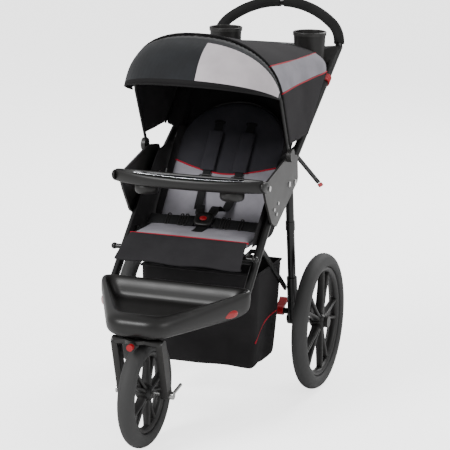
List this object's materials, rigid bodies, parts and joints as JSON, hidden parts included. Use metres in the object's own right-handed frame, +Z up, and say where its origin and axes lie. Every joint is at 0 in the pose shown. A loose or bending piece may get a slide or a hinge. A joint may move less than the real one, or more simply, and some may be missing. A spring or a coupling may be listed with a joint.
{
  "type": "jogging stroller",
  "caption": "Folding three-wheeled jogging stroller with a swivelling front wheel, canopy and visor, harness seat, child tray, parent console and basket.",
  "frame": {"origin": "on the ground under the middle of the overall length", "axes": "+X across to the child's left, +Y from the front wheel to the handle, +Z up"},
  "size_m": [0.6196, 1.2719, 1.1063],
  "materials": {
    "moulded_plastic": "satin moulded",
    "tube_black": "gloss powder coat",
    "zinc_steel": "satin",
    "red_plastic": "gloss",
    "reflector_red": "prismatic gloss",
    "tyre_rubber": "matte",
    "wheel_plastic": "satin moulded",
    "grip_foam": "matte foam",
    "canopy_cloth": "woven",
    "black_cloth": "woven",
    "seat_cloth": "woven, padded",
    "webbing": "woven webbing",
    "lid_plastic": "satin moulded"
  },
  "bodies": {
    "frame": {"nose_shell": "moulded_plastic", "reflector_left": "reflector_red", "reflector_right": "reflector_red", "down_tube_left": "tube_black", "down_tube_right": "tube_black", "side_bracket_left": "moulded_plastic", "side_bracket_right": "moulded_plastic", "pivot_pins_left": "zinc_steel", "pivot_pins_right": "zinc_steel", "calf_support_bar": "tube_black", "seat_cross_tube": "tube_black", "seat_pad": "seat_cloth", "calf_flap": "black_cloth", "side_panel_left": "black_cloth", "side_panel_right": "black_cloth", "crotch_strap": "webbing", "waist_belt": "webbing", "harness_buckle": "moulded_plastic", "basket": "black_cloth", "recline_strap": "webbing", "recline_strap_tab": "red_plastic"},
    "handle": {"handle_tube_left": "tube_black", "handle_tube_right": "tube_black", "handle_loop": "tube_black", "foam_grip_left": "grip_foam", "foam_grip_right": "grip_foam", "grip_joiner": "tube_black", "parent_console": "moulded_plastic"},
    "console_lid": {"console_lid": "lid_plastic"},
    "fold_trigger_left": {"fold_trigger_left": "red_plastic"},
    "fold_trigger_right": {"fold_trigger_right": "red_plastic"},
    "rear_legs": {"rear_leg_left": "tube_black", "rear_leg_right": "tube_black", "rear_axle_beam": "tube_black", "rear_stub_axles": "zinc_steel", "hub_cap_left": "wheel_plastic", "hub_cap_right": "wheel_plastic"},
    "braces": {"brace_left": "tube_black", "brace_right": "tube_black"},
    "canopy": {"canopy_hubs": "moulded_plastic", "canopy_bow": "tube_black", "canopy_cover": "canopy_cloth"},
    "visor": {"sun_visor": "canopy_cloth"},
    "fork": {"front_fork": "moulded_plastic", "front_axle": "zinc_steel"},
    "front_wheel": {"front_tyre": "tyre_rubber", "front_rim": "wheel_plastic", "front_valve": "zinc_steel"},
    "swivel_knob": {"swivel_lock_knob": "red_plastic"},
    "quick_release": {"quick_release_lever": "zinc_steel"},
    "rear_wheel_left": {"rear_tyre_left": "tyre_rubber", "rear_rim_left": "wheel_plastic"},
    "rear_wheel_right": {"rear_tyre_right": "tyre_rubber", "rear_rim_right": "wheel_plastic"},
    "brake_left": {"brake_pedal_left": "red_plastic"},
    "brake_right": {"brake_pedal_right": "red_plastic"},
    "backrest": {"seat_back": "black_cloth", "shoulder_straps": "webbing"},
    "buckle_button": {"buckle_button": "red_plastic"},
    "tray": {"child_tray": "moulded_plastic"}
  },
  "joints": [
    {"name": "handle_fold", "type": "hinge", "parent": "frame", "child": "handle", "pos_m": [0, 0.062, 0.6356], "axis": [1, 0, 0], "range_deg": [0, 120], "deforming": ["canopy_cover", "sun_visor", "basket"]},
    {"name": "leg_fold", "type": "hinge", "parent": "frame", "child": "rear_legs", "pos_m": [0, 0.113, 0.632], "axis": [1, 0, 0], "range_deg": [-36, 0]},
    {"name": "brace_fold", "type": "hinge", "parent": "frame", "child": "braces", "pos_m": [0, -0.112, 0.507], "axis": [1, 0, 0], "range_deg": [-72, 0]},
    {"name": "canopy_fold", "type": "hinge", "parent": "frame", "child": "canopy", "pos_m": [0, 0.05, 0.722], "axis": [1, 0, 0], "range_deg": [0, 60]},
    {"name": "visor_fold", "type": "hinge", "parent": "canopy", "child": "visor", "pos_m": [0, -0.05, 0.9], "axis": [1, 0, 0], "range_deg": [-60, 0]},
    {"name": "fork_swivel", "type": "hinge", "parent": "frame", "child": "fork", "pos_m": [0, -0.53, 0.32], "axis": [0, 0, 1], "continuous": true},
    {"name": "front_wheel_spin", "type": "hinge", "parent": "fork", "child": "front_wheel", "pos_m": [0, -0.482, 0.1525], "axis": [1, 0, 0], "continuous": true},
    {"name": "quick_release_turn", "type": "hinge", "parent": "fork", "child": "quick_release", "pos_m": [0, -0.482, 0.1525], "axis": [1, 0, 0], "range_deg": [0, 90]},
    {"name": "swivel_lock_pull", "type": "slide", "parent": "fork", "child": "swivel_knob", "axis": [0, -1, 0], "range_m": [0, 0.006], "stiffness_N_per_m": 400},
    {"name": "rear_wheel_left_spin", "type": "hinge", "parent": "rear_legs", "child": "rear_wheel_left", "pos_m": [-0.2775, 0.178, 0.203], "axis": [1, 0, 0], "continuous": true},
    {"name": "rear_wheel_right_spin", "type": "hinge", "parent": "rear_legs", "child": "rear_wheel_right", "pos_m": [0.2775, 0.178, 0.203], "axis": [1, 0, 0], "continuous": true},
    {"name": "brake_left_press", "type": "hinge", "parent": "rear_legs", "child": "brake_left", "pos_m": [-0.16, 0.168, 0.226], "axis": [1, 0, 0], "range_deg": [-25, 0]},
    {"name": "brake_right_press", "type": "hinge", "parent": "rear_legs", "child": "brake_right", "pos_m": [0.16, 0.168, 0.226], "axis": [1, 0, 0], "range_deg": [-25, 0]},
    {"name": "backrest_recline", "type": "hinge", "parent": "frame", "child": "backrest", "pos_m": [0, 0.006, 0.5], "axis": [1, 0, 0], "range_deg": [-12, 18]},
    {"name": "buckle_press", "type": "slide", "parent": "frame", "child": "buckle_button", "axis": [0, 0, -1], "range_m": [0, 0.002], "stiffness_N_per_m": 400},
    {"name": "tray_lift", "type": "hinge", "parent": "frame", "child": "tray", "pos_m": [0, -0.14, 0.664], "axis": [1, 0, 0], "range_deg": [-45, 0]},
    {"name": "console_lid_lift", "type": "hinge", "parent": "handle", "child": "console_lid", "pos_m": [0, 0.555, 0.9675], "axis": [1, 0, 0], "range_deg": [-80, 0]},
    {"name": "fold_trigger_left_slide", "type": "slide", "parent": "handle", "child": "fold_trigger_left", "axis": [0, 0.8415, 0.5402], "range_m": [0, 0.015], "stiffness_N_per_m": 200},
    {"name": "fold_trigger_right_slide", "type": "slide", "parent": "handle", "child": "fold_trigger_right", "axis": [0, 0.8415, 0.5402], "range_m": [0, 0.015], "stiffness_N_per_m": 200}
  ],
  "couplings": [
    {"joint": "leg_fold", "follows": "handle_fold", "ratio": -0.3},
    {"joint": "brace_fold", "follows": "handle_fold", "ratio": -0.6},
    {"joint": "canopy_fold", "follows": "handle_fold", "ratio": 0.5},
    {"joint": "visor_fold", "follows": "handle_fold", "ratio": -0.5}
  ]
}
